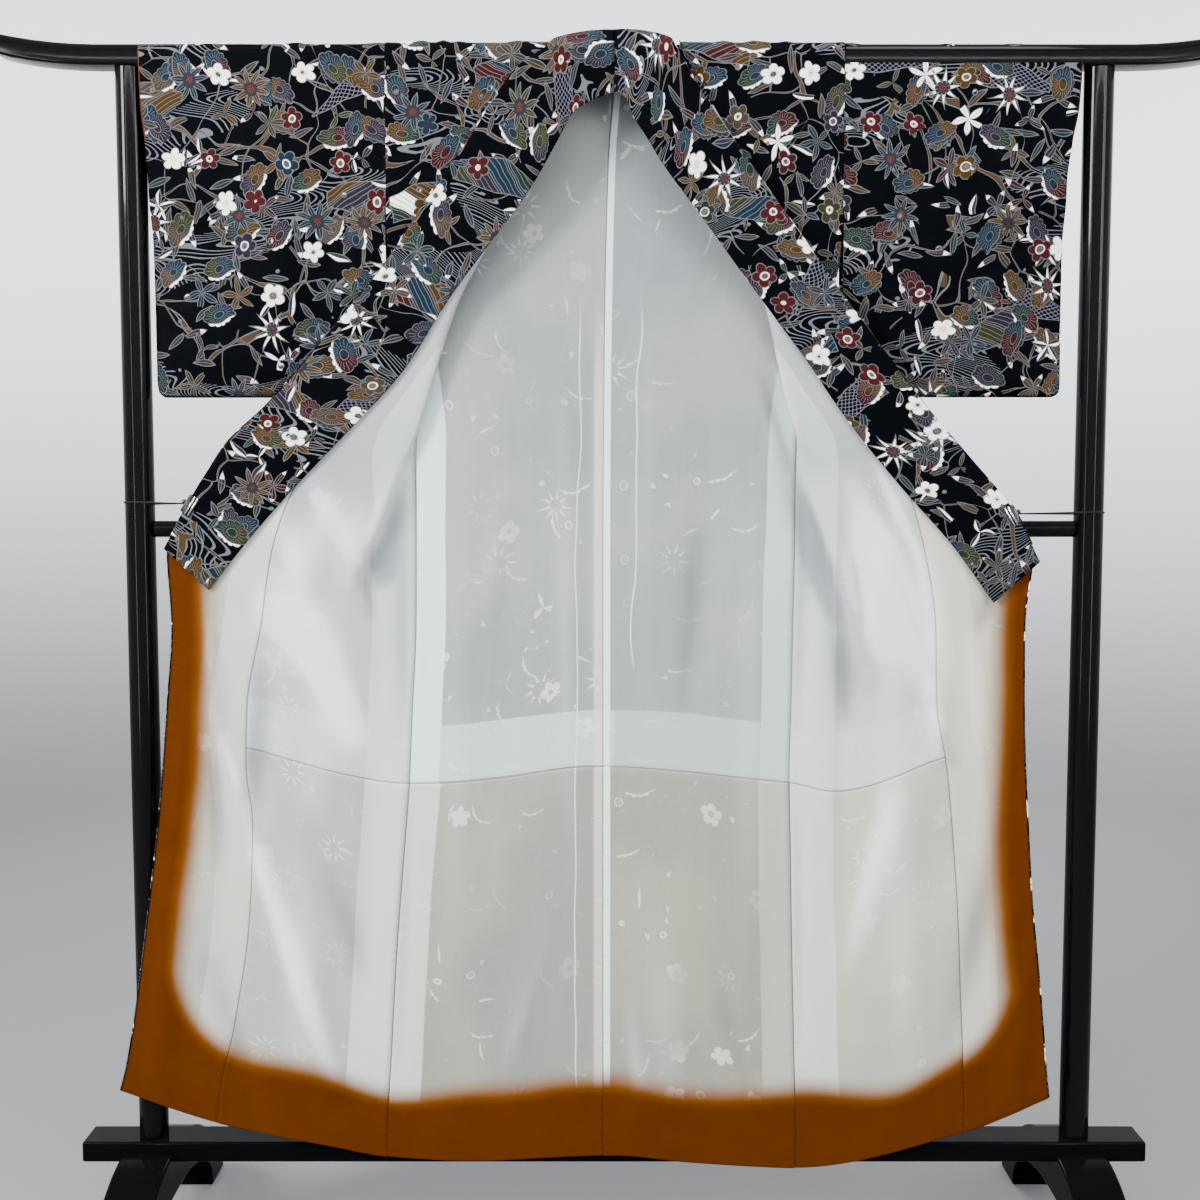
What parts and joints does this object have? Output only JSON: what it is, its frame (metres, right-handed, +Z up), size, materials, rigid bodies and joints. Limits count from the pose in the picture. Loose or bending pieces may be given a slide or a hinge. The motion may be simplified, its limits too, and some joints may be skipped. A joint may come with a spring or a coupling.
{
  "type": "komon kimono on kimono stand",
  "caption": "Lined komon kimono in patterned silk, opened out flat on a lacquered kimono stand with its lining to the front.",
  "frame": {"origin": "on the floor under the middle of the stand", "axes": "+Z up, +X to the right of someone who looks at the open lining side, +Y away from them, through the cloth"},
  "size_m": [1.69, 0.52, 1.703],
  "materials": {
    "black_lacquer": "gloss black lacquer over turned and planed wood",
    "komon_silk": "black silk crepe with an all-over coloured repeat, semi-matt",
    "lining_silk": "thin smooth silk lining, soft sheen",
    "skirt_lining": "silk crepe skirt lining, shaded to orange-brown along the hem and front edges",
    "clip_steel": "bright spring steel",
    "tie_thread": "black sewing thread, doubled"
  },
  "bodies": {
    "root": {"rail": "black_lacquer", "post_left": "black_lacquer", "post_right": "black_lacquer", "mid_rail": "black_lacquer", "base_beam": "black_lacquer", "foot_left": "black_lacquer", "foot_right": "black_lacquer", "back_left": "komon_silk", "back_right": "komon_silk", "front_left": "komon_silk", "front_right": "komon_silk", "overlap_left": "komon_silk", "overlap_right": "komon_silk", "sleeve_left": "komon_silk", "sleeve_right": "komon_silk", "collar_left": "komon_silk", "collar_right": "komon_silk", "over_collar_left": "komon_silk", "over_collar_right": "komon_silk", "back_lining_left": "lining_silk", "back_lining_right": "lining_silk", "front_lining_left": "lining_silk", "front_lining_right": "lining_silk", "back_skirt_lining_left": "skirt_lining", "back_skirt_lining_right": "skirt_lining", "front_skirt_lining_left": "skirt_lining", "front_skirt_lining_right": "skirt_lining", "overlap_lining_left": "skirt_lining", "overlap_lining_right": "skirt_lining", "clip_left": "clip_steel", "clip_right": "clip_steel", "tie_left": "tie_thread", "tie_right": "tie_thread"}
  },
  "joints": []
}
